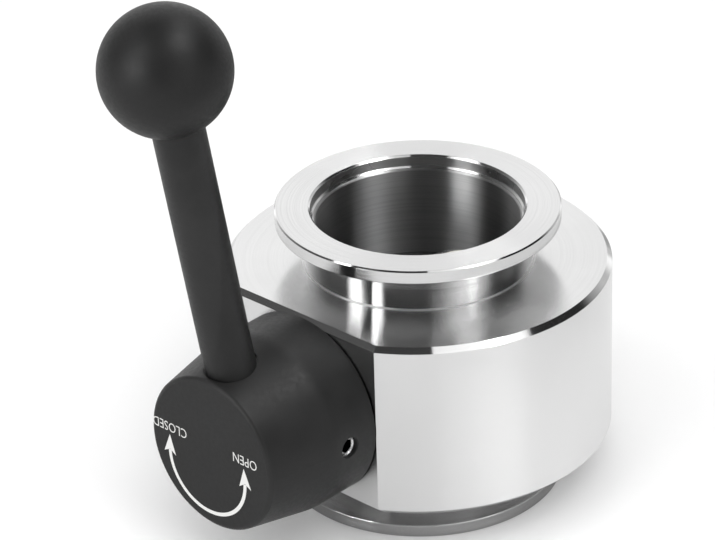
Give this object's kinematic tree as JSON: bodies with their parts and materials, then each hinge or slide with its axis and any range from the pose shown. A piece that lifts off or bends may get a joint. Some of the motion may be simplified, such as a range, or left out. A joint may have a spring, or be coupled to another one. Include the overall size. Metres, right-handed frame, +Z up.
{
  "type": "lever vacuum valve",
  "caption": "Quarter-turn vacuum butterfly valve: round steel body between clamp flanges, dark hub on a milled flat, and a tilted lever with a ball knob.",
  "frame": {"origin": "centre of the lower port's sealing face", "axes": "+Z up the port axis, -Y out through the hub, +X to the right seen from the hub's side; drawn open, lever up"},
  "size_m": [0.0745, 0.1131, 0.1213],
  "materials": {
    "turned_steel": "fine turned, satin to polished",
    "inner_steel": "machined",
    "black_anodised": "matt black anodised",
    "black_plastic": "matt thermoset",
    "white_plastic": "smooth, slippery",
    "seal_rubber": "smooth",
    "yellow_brass": "turned"
  },
  "bodies": {
    "body": {"valve_body": "turned_steel", "upper_port": "turned_steel", "lower_port": "turned_steel", "seat_ring": "inner_steel", "inner_stem_seal": "seal_rubber", "seal_spacer": "yellow_brass", "outer_stem_seal": "seal_rubber", "gland_bush": "yellow_brass", "retaining_ring": "inner_steel", "rear_bushing": "white_plastic", "thrust_pad": "white_plastic", "stop_pin": "inner_steel"},
    "handle": {"hub": "black_anodised", "hub_set_screw": "inner_steel", "thrust_washer": "white_plastic", "detent_ball": "inner_steel", "detent_spring": "inner_steel", "stem": "inner_steel", "disc": "inner_steel", "disc_seal": "white_plastic", "disc_screws": "inner_steel", "lever_rod": "black_anodised", "rod_stud": "inner_steel", "knob_stud": "inner_steel", "ball_knob": "black_plastic", "knob_insert": "yellow_brass"}
  },
  "joints": [
    {"name": "handle_turn", "type": "hinge", "parent": "body", "child": "handle", "pos_m": [0, 0, 0.029], "axis": [0, 1, 0], "range_deg": [0, 90]}
  ]
}
